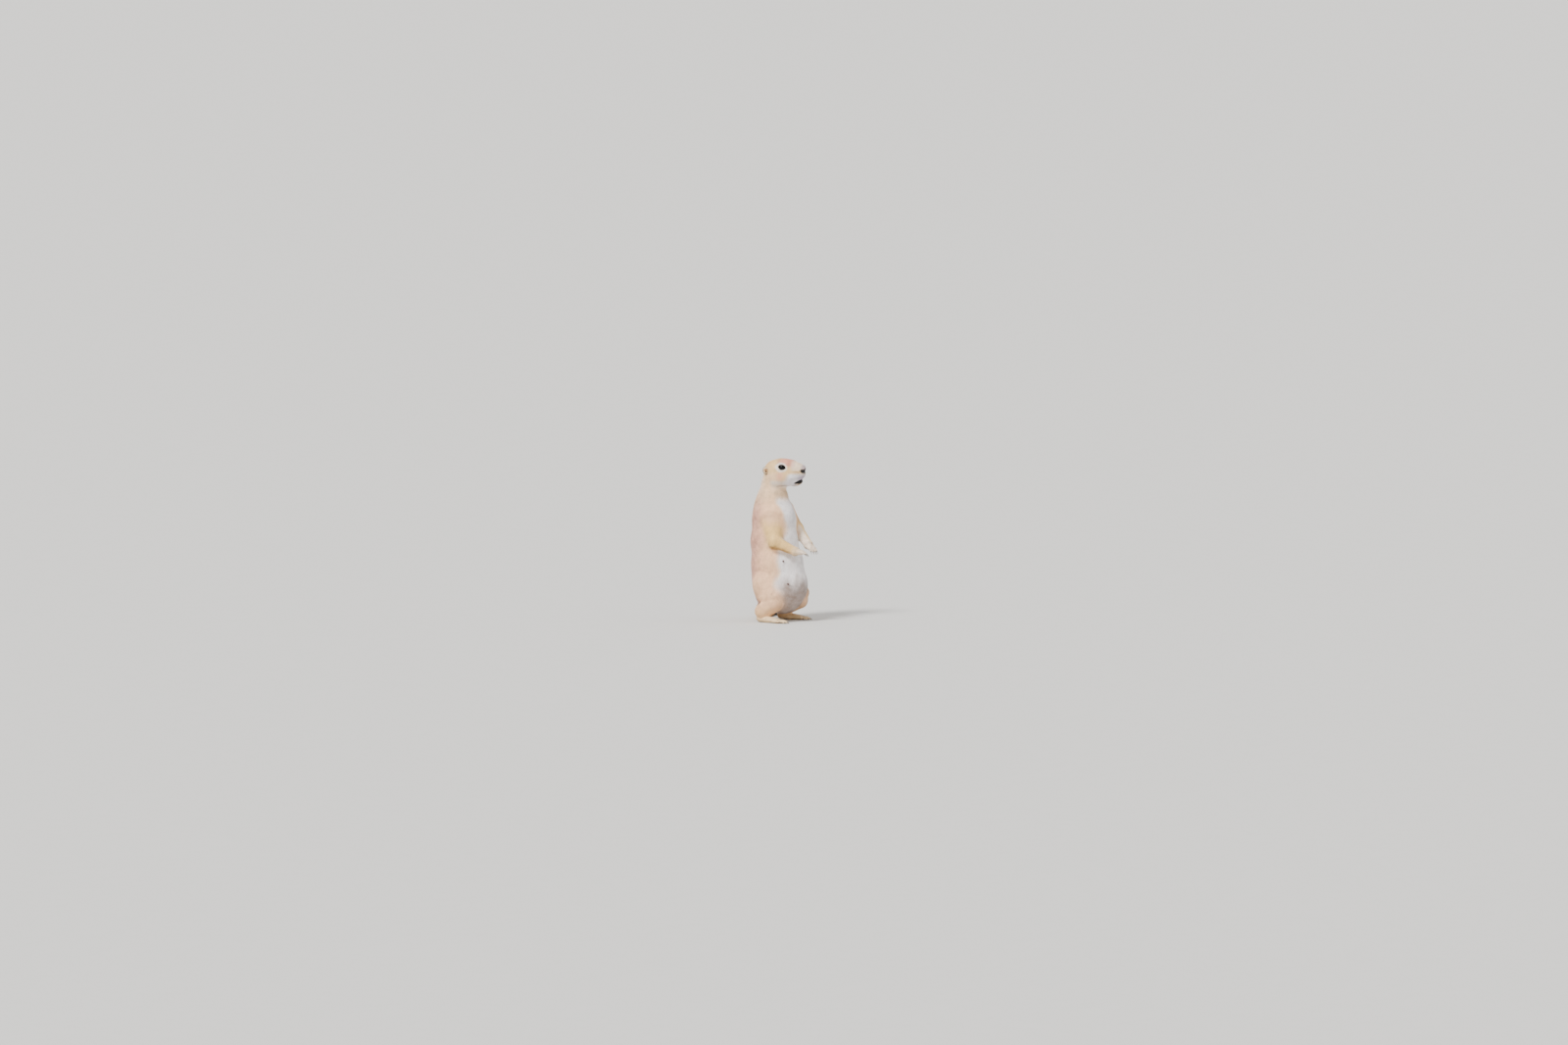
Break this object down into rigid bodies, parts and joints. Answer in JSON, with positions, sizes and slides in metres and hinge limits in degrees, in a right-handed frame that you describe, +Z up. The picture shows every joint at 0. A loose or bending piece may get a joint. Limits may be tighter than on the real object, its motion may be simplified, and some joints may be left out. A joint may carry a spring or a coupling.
{
  "type": "prairie dog",
  "caption": "Still, life-size model of a prairie dog standing upright on its hind legs, arms hanging forward, head level and watching.",
  "frame": {"origin": "on the floor, under the middle of the model's bounding box", "axes": "+Z up, the animal faces -Y, its right side is -X"},
  "size_m": [0.1356, 0.131, 0.275],
  "materials": {
    "coat_head": "short cream-buff fur",
    "coat_body": "short buff and cream fur",
    "coat_limb": "short tan fur",
    "coat_tail": "longer tan hair with a black tip",
    "paw": "thin pale fur over skin, dark horn claws",
    "eye": "wet, near black"
  },
  "bodies": {
    "root": {"head": "coat_head", "ear_r": "coat_head", "ear_l": "coat_head", "eye_r": "eye", "eye_l": "eye", "neck": "coat_body", "torso": "coat_body", "upper_arm_r": "coat_body", "upper_arm_l": "coat_body", "forearm_r": "coat_limb", "forearm_l": "coat_limb", "hand_r": "paw", "hand_l": "paw", "thigh_r": "coat_limb", "thigh_l": "coat_limb", "shank_r": "coat_limb", "shank_l": "coat_limb", "foot_r": "paw", "foot_l": "paw", "tail": "coat_tail"}
  },
  "joints": []
}
